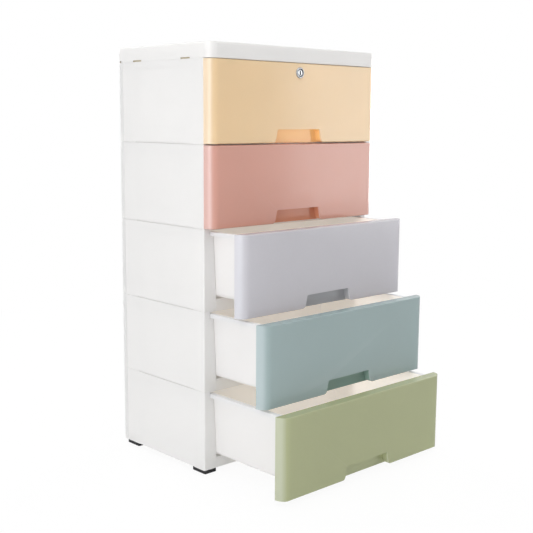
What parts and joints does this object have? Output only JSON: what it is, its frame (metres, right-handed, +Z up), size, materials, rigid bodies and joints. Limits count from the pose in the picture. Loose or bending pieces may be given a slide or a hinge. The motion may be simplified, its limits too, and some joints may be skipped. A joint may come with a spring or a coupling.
{
  "type": "plastic drawer tower",
  "caption": "Tall free-standing moulded casing on short feet, with wide pull-out drawers that have coloured fronts and hand pockets, and a cam lock on the top one.",
  "frame": {"origin": "on the floor, below the middle of the casing", "axes": "+X to the right seen from the front, +Y to the rear (the drawers pull out along -Y), +Z up"},
  "size_m": [0.47, 0.5, 0.85],
  "materials": {
    "casing_plastic": "satin",
    "box_plastic": "satin",
    "foot_plastic": "matte",
    "peach_plastic": "satin",
    "rose_plastic": "satin",
    "grey_plastic": "satin",
    "teal_plastic": "satin",
    "sage_plastic": "satin",
    "lock_chrome": "polished",
    "lock_steel": "satin"
  },
  "bodies": {
    "casing": {"top_cap": "casing_plastic", "top_frame": "casing_plastic", "divider_1": "casing_plastic", "divider_2": "casing_plastic", "divider_3": "casing_plastic", "divider_4": "casing_plastic", "base_frame": "casing_plastic", "side_left_1": "casing_plastic", "side_left_2": "casing_plastic", "side_left_3": "casing_plastic", "side_left_4": "casing_plastic", "side_left_5": "casing_plastic", "side_right_1": "casing_plastic", "side_right_2": "casing_plastic", "side_right_3": "casing_plastic", "side_right_4": "casing_plastic", "side_right_5": "casing_plastic", "back_1": "casing_plastic", "back_2": "casing_plastic", "back_3": "casing_plastic", "back_4": "casing_plastic", "back_5": "casing_plastic", "feet": "foot_plastic"},
    "drawer_1": {"drawer_box_1": "box_plastic", "drawer_front_1": "peach_plastic", "lock_housing": "lock_chrome", "lock_nut": "lock_steel"},
    "drawer_2": {"drawer_box_2": "box_plastic", "drawer_front_2": "rose_plastic"},
    "drawer_3": {"drawer_box_3": "box_plastic", "drawer_front_3": "grey_plastic"},
    "drawer_4": {"drawer_box_4": "box_plastic", "drawer_front_4": "teal_plastic"},
    "drawer_5": {"drawer_box_5": "box_plastic", "drawer_front_5": "sage_plastic"},
    "lock_plug": {"lock_plug": "lock_chrome", "lock_cam": "lock_steel", "lock_cam_screw": "lock_steel"}
  },
  "joints": [
    {"name": "drawer_1_slide", "type": "slide", "parent": "casing", "child": "drawer_1", "axis": [0, -1, 0], "range_m": [0, 0.215]},
    {"name": "drawer_2_slide", "type": "slide", "parent": "casing", "child": "drawer_2", "axis": [0, -1, 0], "range_m": [0, 0.215]},
    {"name": "drawer_3_slide", "type": "slide", "parent": "casing", "child": "drawer_3", "axis": [0, -1, 0], "range_m": [-0.08901, 0.12599]},
    {"name": "drawer_4_slide", "type": "slide", "parent": "casing", "child": "drawer_4", "axis": [0, -1, 0], "range_m": [-0.15007, 0.06493]},
    {"name": "drawer_5_slide", "type": "slide", "parent": "casing", "child": "drawer_5", "axis": [0, -1, 0], "range_m": [-0.20296, 0.01204]},
    {"name": "lock_turn", "type": "hinge", "parent": "drawer_1", "child": "lock_plug", "pos_m": [0, -0.1595, 0.7995], "axis": [0, -1, 0], "range_deg": [0, 90]}
  ]
}
